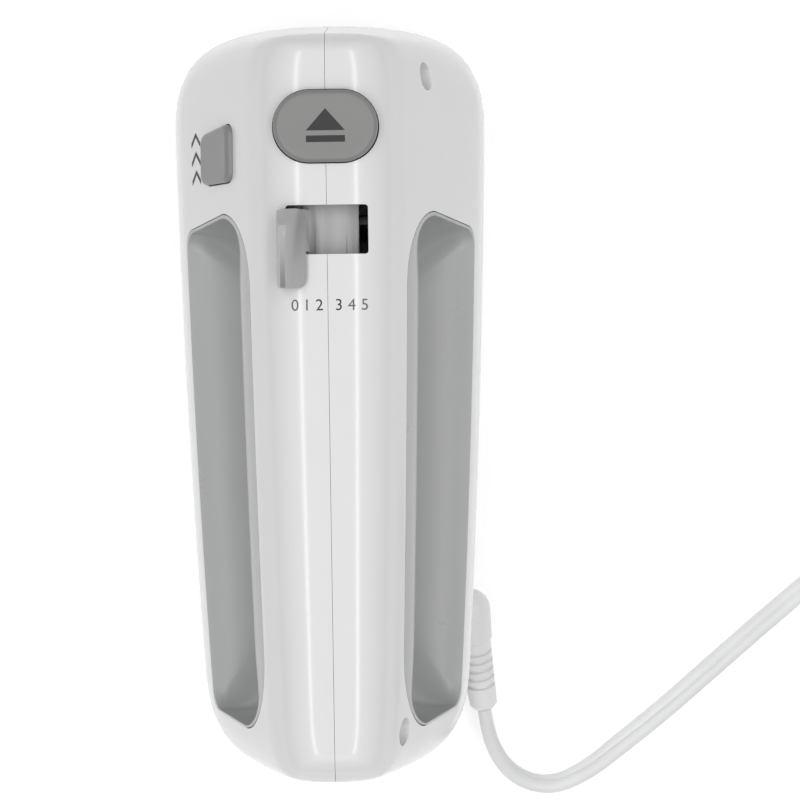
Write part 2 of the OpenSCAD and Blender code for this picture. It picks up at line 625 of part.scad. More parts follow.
// ---- frames ----
frame_x = 30;
module gearbox_frame() color("lightgray") difference() {
  union() {
    box([-frame_x, frame_x], [wall_y, wall_y + 4], [wall + 0.2, plate_z]);
    box([-frame_x, frame_x], [wall_y, front_y + 4], [floor_z, floor_z + 4]);
    box([-frame_x, frame_x], [wall_y, front_y + 4], [plate_z - 4, plate_z]);
    box([-12, 12], [front_y, front_y + 4], [floor_z, plate_z]);
  }
  rod_y(7.5, wall_y - 1, wall_y + 5);
  rod_y(6, front_y - 1, front_y + 5);
  for (s = [-1, 1], z = [floor_z, plate_z - 4]) rod_z(bush_r, z - 1, z + 5, s * spindle_x, spindle_y);
  for (sx = [-1, 1], sz = [-1, 1])
    rod_y(bolt_r + 0.1, wall_y - 1, wall_y + 5, sx * bolt_at, shaft_z + sz * bolt_at);
}
module rear_motor_frame() color("lightgray") difference() {
  union() {
    box([-10, 10], [rear_bush_y, rear_bush_y + 4], [wall + 0.2, shaft_z + 24.5]);
    box([-30, 30], [rear_bush_y, rear_bush_y + 4], [shaft_z - 6, shaft_z + 6]);
    for (z = [shaft_z - 24.5, shaft_z + 21.5])
      box([-10, 10], [rear_bush_y, core_y - core_len / 2], [z, z + 3]);
  }
  rod_y(7, rear_bush_y - 1, rear_bush_y + 6);
}
module motor_bolts() color("silver") for (sx = [-1, 1], sz = [-1, 1]) {
  rod_y(bolt_r, core_y - core_len / 2, wall_y + 4, sx * bolt_at, shaft_z + sz * bolt_at);
  rod_y(3, core_y - core_len / 2 - 2.6, core_y - core_len / 2, sx * bolt_at, shaft_z + sz * bolt_at);
}

// ---- brushes, on the right; the left ones are their mirror image ----
holder_end = 31;
module brush_holder() color("darkgoldenrod") {
  difference() {
    box([13, holder_end], [commutator_y - 5, commutator_y + 5], [shaft_z - 4.5, shaft_z + 4.5]);
    box([12, holder_end - 1.4], [commutator_y - 3.1, commutator_y + 3.1], [shaft_z - 2.6, shaft_z + 2.6]);
  }
  box([18, 28], [rear_bush_y + 4, commutator_y - 5], [shaft_z - 4.5, shaft_z + 4.5]);
}
module carbon_brush() color("black")
  box([9.6, 21], [commutator_y - 3, commutator_y + 3], [shaft_z - 2.5, shaft_z + 2.5]);
module brush_spring() color("silver") translate([21, commutator_y, shaft_z]) rotate([0, 90, 0])
  coil_spring(1.9, 0.3, 4, holder_end - 1.4 - 21);
module right_brush_holder() brush_holder();
module left_brush_holder() mirrored() brush_holder();
module right_carbon_brush() carbon_brush();
module left_carbon_brush() mirrored() carbon_brush();
module right_brush_spring() brush_spring();
module left_brush_spring() mirrored() brush_spring();

// ---- electrics in the tail ----
board_y = rear_bush_y - 12;
module circuit_board() color("darkgreen") box([-21, 21], [board_y, board_y + 1.6], [wall + 0.2, 56]);
module triac_heat_sink() color("silver") {
  box([-16, -2], [board_y + 1.6, board_y + 3.4], [28, 52]);
  for (x = [-16, -12.4, -8.8, -5.2]) box([x, x + 1.4], [board_y + 3.4, board_y + 9], [28, 52]);
}
module capacitor() color("darkorange") box([4, 17], [board_y + 1.6, board_y + 8.6], [34, 46]);

// ---- lead ----
relief_tilt = 8;
relief_dip = 20;
relief_r = 6;
sleeve_len = 30.5;
sleeve_r = 4.2;
rib_from = 12;
rib_step = 2.6;
rib_cut = 1.1;
rib_deep = 0.9;
function sleeve_at(s) = sleeve_r + 0.9 - 1.3 * s / sleeve_len;
// Half outline of the relief along its own axis: a domed head, a shoulder, five grooves and a tip.
relief_outline = concat(
  [for (a = [-90:15:0]) relief_r * [cos(a), sin(a)]],
  [[relief_r - 0.8, 9], [sleeve_at(9.6), 9.6]],
  [for (i = [0:4]) let (s = rib_from + i * rib_step)
    each [[sleeve_at(s), s], [sleeve_at(s) - rib_deep, s + 0.1],
      [sleeve_at(s) - rib_deep, s + rib_cut - 0.1], [sleeve_at(s), s + rib_cut]]],
  [[sleeve_at(sleeve_len - 1.2), sleeve_len - 1.2], [sleeve_at(sleeve_len) - 1, sleeve_len], [0, sleeve_len]]);
module strain_relief() color("whitesmoke") {
  rod_x(plug_r, relief_x - 7, relief_x + 0.5, relief_y, relief_z);
  rod_x(plug_r + 1.8, relief_x - 7, relief_x - wall - 1.6, relief_y, relief_z);
  difference() {
    translate([relief_x + 1.4, relief_y, relief_z]) rotate([0, 0, relief_tilt])
      rotate([90 + relief_dip, 0, 0]) rotate_extrude($fn = fine) polygon(relief_outline);
    box([relief_x - 20, relief_x], [relief_y - 60, relief_y + 30], [0, relief_z + 20]);
  }
}
module cord_clamp() color("gainsboro") difference() {
  box([13, 21], [relief_y - 5, relief_y + 5], [wall + 0.2, relief_z + 4.4]);
  box([12, 22], [relief_y - 1.6, relief_y + 1.6], [relief_z - 3.2, relief_z + 3.2]);
}

core_wire_r = 1.4;
module supply_leads() color("white") for (s = [-1, 1]) {
  z = relief_z + s * 1.6;
  rod_x(core_wire_r, 8, relief_x - 7, relief_y, z);
  rod_y(core_wire_r, relief_y, board_y, 8, z);
  translate([8, relief_y, z]) sphere(r = core_wire_r, $fn = small);
}

// Points along the free lead, from the sleeve's tip, down to the table and off to the coil.
lead_route = [[40.8, -88.4, 15.6], [41.7, -94, 13.4], [43.2, -99.4, 10.7], [46, -104.8, 7.6],
  [50.4, -109.2, 4.9], [56.2, -111.6, 3.6], [63, -111.3, 3.3], [71.4, -107.2, 3.3], [80, -100.8, 3.3],
  [92.8, -90.8, 3.3], [105.8, -79.8, 3.3], [119, -68.6, 3.3], [132, -57.8, 3.3], [143.4, -48.4, 3.6]];
tail_route = [[221.5, -92.6, 6.4], [221.7, -96.6, 6.2], [222.2, -100.6, 6.5], [222.8, -105, 7]];
coil_at = [183, -70];
coil_mid = 35;
turn_step = 6.6;
coil_lift = 0.3;
tube_sides = 10;
function unit(v) = v / norm(v);
// Rings of a round tube of radius r along a route.
function tube_rows(route, r) = [for (j = [0:tube_sides - 1]) [for (k = [0:len(route) - 1])
  let (t = unit(route[min(k + 1, len(route) - 1)] - route[max(k - 1, 0)]),
    side = unit(cross(t, [0, 0, 1])), up = cross(side, t), a = 360 * j / tube_sides)
  route[k] + r * (cos(a) * side + sin(a) * up)]];
module power_cord() color("whitesmoke") skin(reversed(tube_rows(lead_route, lead_w / 2)));
module cord_tail() color("whitesmoke") skin(reversed(tube_rows(tail_route, lead_w / 2)));
coil_in = coil_mid - 1.5 * turn_step;
coil_out = coil_mid + 1.5 * turn_step;
coil_top = coil_lift + 2 * lead_t;
coil_edge = 1.2;
module cord_coil() color("whitesmoke") translate([coil_at[0], coil_at[1], 0]) rotate_extrude($fn = fine)
  polygon([[coil_in, coil_lift + coil_edge], [coil_in + coil_edge, coil_lift],
    [coil_out - coil_edge, coil_lift], [coil_out, coil_lift + coil_edge],
    [coil_out, coil_top - coil_edge], [coil_out - coil_edge, coil_top],
    [coil_in + coil_edge, coil_top], [coil_in, coil_top - coil_edge]]);
tie_w = 9;
module cord_tie() color("white") translate([coil_at[0], coil_at[1] - coil_mid, 0]) difference() {
  box([-tie_w / 2, tie_w / 2], [-1.5 * turn_step - 1.6, 1.5 * turn_step + 1.6], [0, coil_top + 0.9]);
  box([-tie_w, tie_w], [-1.5 * turn_step - 0.5, 1.5 * turn_step + 0.5], [coil_lift - 0.05, coil_top + 0.1]);
}
plug_at = [222.8, -105.2, 7];
plug_len = 34;
pin_gap = 19;
module plug_frame() translate(plug_at) rotate([90, 0, 0]) children();
module plug_body() color("whitesmoke") plug_frame() {
  difference() {
    cylinder(r1 = 4.4, r2 = 6, h = 12, $fn = fine);
    for (z = [2:2.6:9.8]) translate([0, 0, z]) difference() {
      cylinder(r = 8, h = 1.1, $fn = fine);
      translate([0, 0, -1]) cylinder(r = 3.9, h = 4, $fn = fine);
    }
  }
  translate([0, 0, 12]) linear_extrude(plug_len - 12) round_rect(27, 13.6, 5);
}
module plug_pins() color("silver") plug_frame() for (s = [-1, 1]) translate([s * pin_gap / 2, 0, plug_len]) {
  cylinder(r = 2, h = 17.6, $fn = small);
  translate([0, 0, 17.6]) cylinder(r1 = 2, r2 = 1.2, h = 1.4, $fn = small);
}

left_housing();
right_housing();
left_grip_liner();
right_grip_liner();
eject_button();
eject_pusher();
eject_guide();
eject_spring();
speed_lever();
lever_pivot();
speed_switch();
switch_contacts();
turbo_button();
turbo_plunger();
turbo_switch();
circuit_board();
triac_heat_sink();
capacitor();
stator_core();
field_coils();
rear_motor_frame();
gearbox_frame();
motor_bolts();
worm_shaft();
armature_core();
armature_winding();
commutator();
cooling_fan();
rear_shaft_bush();
front_shaft_bush();
left_brush_holder();
right_brush_holder();
left_carbon_brush();
right_carbon_brush();
left_brush_spring();
right_brush_spring();
left_worm_wheel();
right_worm_wheel();
left_beater_spindle();
right_beater_spindle();
left_lower_bush();
right_lower_bush();
left_upper_bush();
right_upper_bush();
housing_screws();
supply_leads();
cord_clamp();
strain_relief();
power_cord();
cord_coil();
cord_tail();
cord_tie();
plug_body();
plug_pins();
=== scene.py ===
"""Hand mixer standing on its flat underside, seen from straight above.

The housing halves and the grey grip liners are lofts, cut with the openings for
the controls. Lengths are in millimetres until a mesh is made; +Y is the nose,
+X the side that the lead leaves from.
"""
import json
import math

import bmesh
import bpy
import numpy as np
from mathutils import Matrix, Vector


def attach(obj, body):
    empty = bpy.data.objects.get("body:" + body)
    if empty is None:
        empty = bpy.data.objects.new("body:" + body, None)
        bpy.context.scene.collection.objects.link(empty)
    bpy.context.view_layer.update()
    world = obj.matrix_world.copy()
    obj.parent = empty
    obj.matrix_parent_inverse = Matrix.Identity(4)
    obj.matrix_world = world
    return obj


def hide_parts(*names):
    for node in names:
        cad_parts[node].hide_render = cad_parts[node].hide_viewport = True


MM = 0.001
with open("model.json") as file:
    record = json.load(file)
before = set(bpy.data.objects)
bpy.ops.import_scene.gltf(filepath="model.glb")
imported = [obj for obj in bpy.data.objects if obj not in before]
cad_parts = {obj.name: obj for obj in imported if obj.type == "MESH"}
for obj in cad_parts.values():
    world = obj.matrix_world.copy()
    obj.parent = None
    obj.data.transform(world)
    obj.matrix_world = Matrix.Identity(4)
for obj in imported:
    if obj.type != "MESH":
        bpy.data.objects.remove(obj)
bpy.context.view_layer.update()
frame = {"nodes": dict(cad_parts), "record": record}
nodes = frame["nodes"]
scene = bpy.context.scene


# ---------------------------------------------------------------- camera, light and floor
def set_camera():
    height, sensor, focal_ratio = 1130.0, 36.0, 4.88125
    data = bpy.data.cameras.new("overhead")
    data.sensor_width = sensor
    data.lens = focal_ratio * sensor
    data.clip_end = 10.0
    camera = bpy.data.objects.new("overhead", data)
    camera.location = (0.0181, -0.0005, height * MM)
    camera.rotation_euler = (0.0, 0.0, math.radians(-0.84))
    scene.collection.objects.link(camera)
    scene.camera = camera


def soft_box(name, at, aim, width, length, power):
    data = bpy.data.lights.new(name, "AREA")
    data.shape = "RECTANGLE"
    data.size, data.size_y = width, length
    data.energy = power
    box = bpy.data.objects.new(name, data)
    box.location = at
    box.rotation_euler = (Vector(aim) - Vector(at)).to_track_quat("-Z", "Y").to_euler()
    scene.collection.objects.link(box)


def set_studio():
    """A sky that is brightest overhead, and two long soft boxes either side of the handle."""
    scene.view_settings.view_transform = "Standard"
    scene.view_settings.look = "None"
    world = bpy.data.worlds.new("studio")
    scene.world = world
    world.use_nodes = True
    back = world.node_tree.nodes["Background"]
    back.inputs["Color"].default_value = (1.0, 1.0, 1.0, 1.0)
    place = world.node_tree.nodes.new("ShaderNodeTexCoord")
    split = world.node_tree.nodes.new("ShaderNodeSeparateXYZ")
    sky = world.node_tree.nodes.new("ShaderNodeMapRange")
    sky.inputs["To Min"].default_value = 0.03
    sky.inputs["To Max"].default_value = 0.78
    world.node_tree.links.new(place.outputs["Generated"], split.inputs["Vector"])
    world.node_tree.links.new(split.outputs["Z"], sky.inputs["Value"])
    world.node_tree.links.new(sky.outputs["Result"], back.inputs["Strength"])
    middle = (0, 0, 0.1)
    for name, x in (("left_strip", -0.29), ("right_strip", 0.29)):
        soft_box(name, (x, -0.02, 1.08), middle, 1.1, 0.09, 2.7)
    soft_box("tail_box", (0.0, -1.0, 1.15), middle, 1.0, 0.5, 1.8)


set_camera()
set_studio()


# ---------------------------------------------------------------- materials
def plain(name, colour, rough, metal=0.0, grain=0.02, grain_size=60.0, bump=0.02,
          bump_size=1400.0, spread=0.04):
    """Moulded or drawn stock: slight cloudiness in colour and gloss, over a fine surface texture."""
    mat = bpy.data.materials.new(name)
    mat.use_nodes = True
    tree = mat.node_tree
    surface = tree.nodes["Principled BSDF"]
    surface.inputs["Metallic"].default_value = metal
    place = tree.nodes.new("ShaderNodeTexCoord")
    cloud = tree.nodes.new("ShaderNodeTexNoise")
    cloud.inputs["Scale"].default_value = grain_size
    cloud.inputs["Detail"].default_value = 4.0
    tree.links.new(place.outputs["Object"], cloud.inputs["Vector"])
    tint = tree.nodes.new("ShaderNodeValToRGB")
    low, high = tint.color_ramp.elements
    low.position, high.position = 0.3, 0.7
    low.color = [c * (1 - grain) for c in colour] + [1.0]
    high.color = [min(c * (1 + grain), 1.0) for c in colour] + [1.0]
    tree.links.new(cloud.outputs["Fac"], tint.inputs["Fac"])
    tree.links.new(tint.outputs["Color"], surface.inputs["Base Color"])
    gloss = tree.nodes.new("ShaderNodeMapRange")
    gloss.inputs["To Min"].default_value = rough - spread
    gloss.inputs["To Max"].default_value = rough + spread
    tree.links.new(cloud.outputs["Fac"], gloss.inputs["Value"])
    tree.links.new(gloss.outputs["Result"], surface.inputs["Roughness"])
    skin = tree.nodes.new("ShaderNodeTexNoise")
    skin.inputs["Scale"].default_value = bump_size
    skin.inputs["Detail"].default_value = 2.0
    tree.links.new(place.outputs["Object"], skin.inputs["Vector"])
    relief = tree.nodes.new("ShaderNodeBump")
    relief.inputs["Strength"].default_value = bump
    relief.inputs["Distance"].default_value = 0.0002
    tree.links.new(skin.outputs["Fac"], relief.inputs["Height"])
    tree.links.new(relief.outputs["Normal"], surface.inputs["Normal"])
    return mat


FINISH = {
    "housing": plain("white_gloss_plastic", (0.74, 0.74, 0.748), 0.2, grain=0.006,
                     bump=0.01, spread=0.015),
    "liner": plain("grey_satin_plastic", (0.4, 0.41, 0.403), 0.28, grain=0.01,
                   bump=0.015, spread=0.015),
    "eject_button": plain("dark_key_plastic", (0.225, 0.225, 0.222), 0.4, grain=0.02, bump=0.04),
    "turbo_button": plain("dark_turbo_plastic", (0.225, 0.227, 0.224), 0.4, grain=0.02, bump=0.04),
    "speed_lever": plain("lever_plastic", (0.43, 0.433, 0.43), 0.36, grain=0.02, bump=0.04),
    "inner_plastic": plain("natural_moulding", (0.7, 0.69, 0.63), 0.5),
    "wheel": plain("ivory_nylon", (0.78, 0.73, 0.6), 0.45),
    "steel": plain("drawn_steel", (0.6, 0.6, 0.62), 0.3, metal=1.0, grain=0.06, grain_size=400),
    "screws": plain("plated_steel", (0.62, 0.6, 0.56), 0.32, metal=1.0, grain=0.06, grain_size=400),
    "switch": plain("black_phenolic", (0.03, 0.03, 0.03), 0.5),
    "contacts": plain("pressed_brass", (0.8, 0.62, 0.3), 0.3, metal=1.0, grain=0.05),
    "board": plain("green_board", (0.03, 0.16, 0.07), 0.35, grain=0.15, grain_size=300),
    "heat_sink": plain("mill_aluminium", (0.72, 0.73, 0.75), 0.38, metal=1.0, grain=0.05),
    "capacitor": plain("dipped_resin", (0.6, 0.25, 0.05), 0.25, grain=0.08),
    "laminations": plain("stacked_sheet_steel", (0.2, 0.2, 0.21), 0.5, metal=1.0, grain=0.15,
                         grain_size=700),
    "winding": plain("enamelled_wire", (0.5, 0.2, 0.08), 0.35, metal=1.0, grain=0.2,
                     grain_size=900),
    "commutator": plain("turned_copper", (0.75, 0.42, 0.27), 0.3, metal=1.0, grain=0.08),
    "frame": plain("cast_alloy", (0.6, 0.61, 0.63), 0.5, metal=1.0, grain=0.08, bump=0.15),
    "bush": plain("sintered_bronze", (0.6, 0.42, 0.2), 0.5, metal=1.0, grain=0.12, bump=0.15),
    "carbon": plain("brush_carbon", (0.035, 0.035, 0.035), 0.6, grain=0.15),
    "leads": plain("lead_insulation", (0.75, 0.75, 0.76), 0.55),
    "strain_relief": plain("relief_rubber", (0.86, 0.862, 0.868), 0.5, bump=0.08),
    "cord": plain("cord_rubber", (0.8, 0.803, 0.808), 0.5, grain=0.03, bump=0.08),
    "tie": plain("tie_nylon", (0.8, 0.8, 0.8), 0.5),
    "plug": plain("plug_rubber", (0.76, 0.765, 0.77), 0.52, bump=0.08),
    "plug_pins": plain("nickel_pins", (0.75, 0.7, 0.6), 0.25, metal=1.0, grain=0.05),
}
INK = plain("printed_ink", (0.012, 0.012, 0.013), 0.5)
# A paler ink, used for the outer four digits of the speed scale.
PALE_INK = plain("paler_digit_ink", (0.12, 0.12, 0.125), 0.5)
for part in frame["record"]["subparts"]:
    for place in nodes[part["node"]].material_slots:
        place.material = FINISH[part["material_slot"]]


# ---------------------------------------------------------------- mesh helpers
def new_piece(name, points, faces, mat, sharp=32.0, outward=True):
    mesh = bpy.data.meshes.new(name)
    mesh.from_pydata((np.asarray(points, float) * MM).tolist(), [], faces)
    mesh.validate()
    if outward:
        work = bmesh.new()
        work.from_mesh(mesh)
        bmesh.ops.recalc_face_normals(work, faces=work.faces)
        work.to_mesh(mesh)
        work.free()
    mesh.materials.append(mat)
    shade(mesh, sharp)
    piece = bpy.data.objects.new(name, mesh)
    scene.collection.objects.link(piece)
    return piece


def shade(mesh, sharp):
    mesh.shade_smooth()
    mesh.set_sharp_from_angle(angle=math.radians(sharp))


def grid_faces(rows, cols, close_rows=False, close_cols=False):
    """Quads over a grid of points numbered row by row."""
    return [(r * cols + c, r * cols + (c + 1) % cols,
             ((r + 1) % rows) * cols + (c + 1) % cols, ((r + 1) % rows) * cols + c)
            for r in range(rows if close_rows else rows - 1)
            for c in range(cols if close_cols else cols - 1)]


def stack(name, rings, mat, sharp=32.0):
    """A closed solid from a stack of rings with the same number of points."""
    cols = len(rings[0])
    points = np.concatenate([np.asarray(r, float) for r in rings])
    faces = grid_faces(len(rings), cols, close_cols=True)
    faces.append(tuple(range(cols - 1, -1, -1)))
    faces.append(tuple(range((len(rings) - 1) * cols, len(rings) * cols)))
    return new_piece(name, points, faces, mat, sharp)


def prism(name, outline, axis, start, end):
    """A straight prism over an outline; axis names the way that it runs."""
    rings = []
    for at in (start, end):
        if axis == "x":
            rings.append([(at, y, z) for y, z in outline])
        elif axis == "y":
            rings.append([(x, at, z) for x, z in outline])
        else:
            rings.append([(x, y, at) for x, y in outline])
    return stack(name, rings, FINISH["switch"])


def circle(cx, cy, radius, count=48):
    return [(cx + radius * math.cos(2 * math.pi * i / count),
             cy + radius * math.sin(2 * math.pi * i / count)) for i in range(count)]


def merge_objects(name, objects):
    work = bmesh.new()
    for piece in objects:
        work.from_mesh(piece.data)
        bpy.data.objects.remove(piece)
    mesh = bpy.data.meshes.new(name)
    work.to_mesh(mesh)
    work.free()
    joined = bpy.data.objects.new(name, mesh)
    scene.collection.objects.link(joined)
    return joined


def settle(piece):
    """Replaces a piece's mesh with what its modifiers make of it."""
    shown = piece.evaluated_get(bpy.context.evaluated_depsgraph_get())
    mesh = bpy.data.meshes.new_from_object(shown)
    piece.modifiers.clear()
    piece.data = mesh


def weld(mesh):
    """Joins points that coincide and removes slivers without any area."""
    work = bmesh.new()
    work.from_mesh(mesh)
    bmesh.ops.remove_doubles(work, verts=work.verts, dist=2e-6)
    bmesh.ops.dissolve_degenerate(work, edges=work.edges, dist=1e-6)
    work.to_mesh(mesh)
    work.free()


def triangulate(mesh):
    work = bmesh.new()
    work.from_mesh(mesh)
    bmesh.ops.triangulate(work, faces=work.faces)
    work.to_mesh(mesh)
    work.free()


def boolean(piece, tool, operation="DIFFERENCE"):
    triangulate(piece.data)
    triangulate(tool.data)
    step = piece.modifiers.new("cut", "BOOLEAN")
    step.object, step.operation, step.solver = tool, operation, "EXACT"
    settle(piece)
    weld(piece.data)
    bpy.data.objects.remove(tool)


def finish_cut(piece, mat, sharp=32.0):
    """One material, and smooth shading between the sharp cut edges."""
    mesh = piece.data
    mesh.materials.clear()
    mesh.materials.append(mat)
    mesh.polygons.foreach_set("material_index", [0] * len(mesh.polygons))
    shade(mesh, sharp)


# ---------------------------------------------------------------- the form of the housing
BODY_LEN, BODY_W, BODY_H, TAIL_SHARE = 205.0, 85.8, 130.0, 0.8
CROWN_W, CROWN_FALL, WALL, DECK_Z, CROWN_DEPTH = 42.6, 5.0, 2.4, 76.0, 12.0
GRIP_DEPTH, GRIP_FRONT, GRIP_REAR, LINER_WALL = 27.0, 53.5, 16.0, 1.5
NOSE_Y, TAIL_Y, HALF_W = BODY_LEN / 2, -BODY_LEN / 2, BODY_W / 2
TAIL_HALF = HALF_W * TAIL_SHARE
SPLIT_Z, WAIST_Z = BODY_H - CROWN_DEPTH, DECK_Z - 1
WAIST_X, WIDEST_Z = HALF_W - 3.6, DECK_Z - 20
FLANK_RUN = WAIST_X - CROWN_W / 2
FLANK_DIR = np.array([FLANK_RUN, WAIST_Z - SPLIT_Z]) / math.hypot(FLANK_RUN, WAIST_Z - SPLIT_Z)
BOW, CROWN_TOP_Y, SEAM = 45.0, 10.0, 0.05
LEAN, TAIL_LEAN, CREASE_R, TAIL_R, FOOT_R = 8.6, 3.4, 5.0, 9.0, 13.0
SPINDLE_X, SPINDLE_Y, SLOT_Y = 18.0, NOSE_Y - 32.5, NOSE_Y - 59.0
KEY_W, KEY_D, KEY_RISE, KEY_DEEP, KEY_STEM = 27.0, 18.6, 2.6, 5.9, 14.0
SLOT_W, SLOT_D, SLOT_R, FIT, OUTSIDE = 21.2, 12.7, 0.8, 0.3, 60.0


def cubic(a, b, c, d, count):
    t = (np.arange(count) / count)[:, None]
    a, b, c, d = (np.asarray(p, float) for p in (a, b, c, d))
    return (1 - t) ** 3 * a + 3 * (1 - t) ** 2 * t * b + 3 * (1 - t) * t * t * c + t ** 3 * d


def section(g, fine):
    """Half outline of the cross-section, crown to foot, drawn in by g."""
    shoulder = np.array([CROWN_W / 2 - g * 1.08, SPLIT_Z])
    waist = np.array([WAIST_X - g * 1.08, WAIST_Z])
    side = np.array([HALF_W - g, WIDEST_Z])
    hip = np.array([HALF_W - 4.6 - g, 12.0])
    foot = np.array([HALF_W - 12.0, g])
    top = BODY_H - g
    return np.concatenate([
        [[x, top - 0.004 * x * x] for x in (1.2, 2.5, 3.8)],
        cubic([5.0, top - 0.1], [12.5, top], shoulder - (8 - g) * FLANK_DIR, shoulder, 6 * fine),
        cubic(shoulder, shoulder + 13 * FLANK_DIR, waist - 13 * FLANK_DIR, waist, 3 * fine),
        cubic(waist, waist + 7 * FLANK_DIR, side + [0, 7], side, 3 * fine),
        cubic(side, side - [0, 12], hip + [0.8, 12], hip, 3 * fine),
        cubic(hip, hip - [0.6, 7 - g], foot + [6, 0], foot, 4 * fine),
        [foot]])


def edge_in(depth, radius):
    return np.where(depth >= radius, 0.0,
                    radius - np.sqrt(np.maximum(radius ** 2 - (radius - depth) ** 2, 0.0)))


def rise(z):
    return np.maximum(0.0, (z - WIDEST_Z) / (BODY_H - WIDEST_Z))


def front(z, g):
    return NOSE_Y - g - LEAN * rise(z) - edge_in(BODY_H - g - z, CREASE_R) - edge_in(z - g, FOOT_R)


def rear(z, g):
    return TAIL_Y + g + TAIL_LEAN * rise(z) + edge_in(BODY_H - g - z, TAIL_R) + edge_in(z - g, FOOT_R)


def nose_fall(x):
    return 19.0 * (1 - (1 - np.minimum(x / (HALF_W + 0.4), 1) ** 2.3) ** (1 / 2.3))


def tail_fall(x):
    return 17.0 * (1 - np.sqrt(1 - np.minimum(x / (TAIL_HALF + 0.4), 1) ** 2))


def taper(y):
    s = (NOSE_Y - y) / BODY_LEN
    return 1 - (1 - TAIL_SHARE) * (0.3 * s + 0.7 * s * s)


def sink(y, z):
    s = np.clip((z - WIDEST_Z) / (SPLIT_Z - WIDEST_Z), 0, 1)
    return CROWN_FALL * ((y - CROWN_TOP_Y) / (BODY_LEN / 2 + CROWN_TOP_Y)) ** 2 * s * s * (3 - 2 * s)


def corner_steps(fine):
    """(share of the width, share of the run) along a corner, from the centre to the side."""
    reach = [i / (5.0 * fine) for i in range(int(4.5 * fine) + 1)]
    pairs = [(f, (1 - f ** 8) ** 0.125) for f in reach]
    last = pairs[-1][1]
    turns = 3 * fine
    for i in range(1, turns + 1):
        v = last * (1 - i / turns)
        pairs.append(((1 - v ** 8) ** 0.125, v))
    return pairs


def ring(x, z, g, fine):
    """One level, from the front centre round the side to the rear centre."""
    corner = np.array(corner_steps(fine))
    f, v = corner[:, 0], corner[:, 1]
    near, far = NOSE_Y - BOW, TAIL_Y + BOW
    y1 = near + (front(z, g) - nose_fall(f * x) - near) * v
    y2 = near - np.arange(1, 6 * fine) / (6.0 * fine) * (near - far)
    y3 = far + (rear(z, g) + tail_fall(f * x * TAIL_SHARE) - far) * v
    y = np.concatenate([y1, y2, y3[::-1]])
    wide = np.concatenate([f * x, np.full(len(y2), x), (f * x)[::-1]])
    return np.stack([wide * taper(y), y, z - sink(y, np.full(len(y), z))], axis=1)


OUTLINE = section(0.0, 4)


def width_at(z):
    return float(np.interp(z, OUTLINE[::-1, 1], OUTLINE[::-1, 0]))


def side_x(y, z):
    """Half width of the outer form at station y and unbowed height z."""
    level = ring(width_at(z), z, 0.0, 4)
    return float(np.interp(y, level[::-1, 1], level[::-1, 0]))


def crown_z(x, y):
    """Height of the crown at (x, y)."""
    x = abs(x) / float(taper(y))
    z = float(np.interp(x, OUTLINE[:30, 0], OUTLINE[:30, 1]))
    return z - float(sink(y, z))


def flank_x(z):
    return CROWN_W / 2 + (SPLIT_Z - z) * FLANK_RUN / (SPLIT_Z - WAIST_Z)


def flank_at(y, z):
    return flank_x(z) * float(taper(y))


def levels(g, rows_fine, fine):
    """The form's rings from crown to foot, with a row on the centre plane at each end."""
    rows = [ring(x, z, g, fine) for x, z in section(g, rows_fine)]
    return [rows[0] * [0, 0.9994, 1] + [0, 0, 0.005]] + rows + [rows[-1] * [0, 0.997, 1]]


def shell(side, fine, wall_fine):
    """One half of the hollow housing; side is 1 for the right half and -1 for the left."""
    rows = levels(0.0, fine, fine) + levels(WALL, wall_fine, fine)[::-1]
    cols = len(rows[0])
    points = np.concatenate(rows)
    points[:, 0] = (SEAM + points[:, 0] * (1 - SEAM / HALF_W)) * side
    count = len(rows)
    faces = grid_faces(count, cols, close_rows=True)
    faces.append(tuple(r * cols for r in range(count)))
    faces.append(tuple(r * cols + cols - 1 for r in range(count)))
    return new_piece("shell", points, faces, FINISH["housing"])


# ---------------------------------------------------------------- openings and posts of the housing
GRIP_YF, GRIP_YR, APEX_Z = NOSE_Y - GRIP_FRONT, TAIL_Y + GRIP_REAR, SPLIT_Z - 18


def oval_arc(c, r, a0, a1, steps):
    return [(c[0] + r[0] * math.cos(math.radians(a0 + (a1 - a0) * i / steps)),
             c[1] + r[1] * math.sin(math.radians(a0 + (a1 - a0) * i / steps)))
            for i in range(steps + 1)]


def between(p, q, steps):
    return [(p[0] + (q[0] - p[0]) * i / steps, p[1] + (q[1] - p[1]) * i / steps)
            for i in range(1, steps)]


def opening(yf, yr, zt, zb, ft, ff, rf, rt, fine=3):
    arc, edge = 5 * fine, 6 * fine
    a = oval_arc((yf - ft[0], zt - ft[1]), ft, 90, 0, arc)
    b = oval_arc((yf - ff[0], zb + ff[1]), ff, 0, -90, arc)
    c = oval_arc((yr + rf[0], zb + rf[1]), rf, -90, -180, arc)
    d = oval_arc((yr + rt[0], zt - rt[1]), rt, 180, 90, arc)
    return a + b + between(b[-1], c[0], edge) + c + d + between(d[-1], a[0], edge)


def rim_loop(o):
    middle = (GRIP_YF + GRIP_YR) / 2
    loop = opening(GRIP_YF + o, GRIP_YR - o, SPLIT_Z + o, DECK_Z - 3 - o,
                   (20 + o, 18 + o), (4 + o, 4 + o), (4 + o, 4 + o), (20 + o, 18 + o))
    return [(y - 2.6 * max(APEX_Z - z, 0) / 20 * min(max((y - middle) / 40, -1), 1), z) for y, z in loop]


def clear_loop(o):
    return opening(GRIP_YF - 9 + o, GRIP_YR + 5 - o, BODY_H - GRIP_DEPTH + o, DECK_Z - o,
                   (11 + o, 9 + o), (14 + o, 14 + o), (30 + o, 15 + o), (18 + o, 9 + o))


def bowed(points):
    points = np.array(points, float)
    points[..., 2] -= sink(points[..., 1], points[..., 2])
    return points


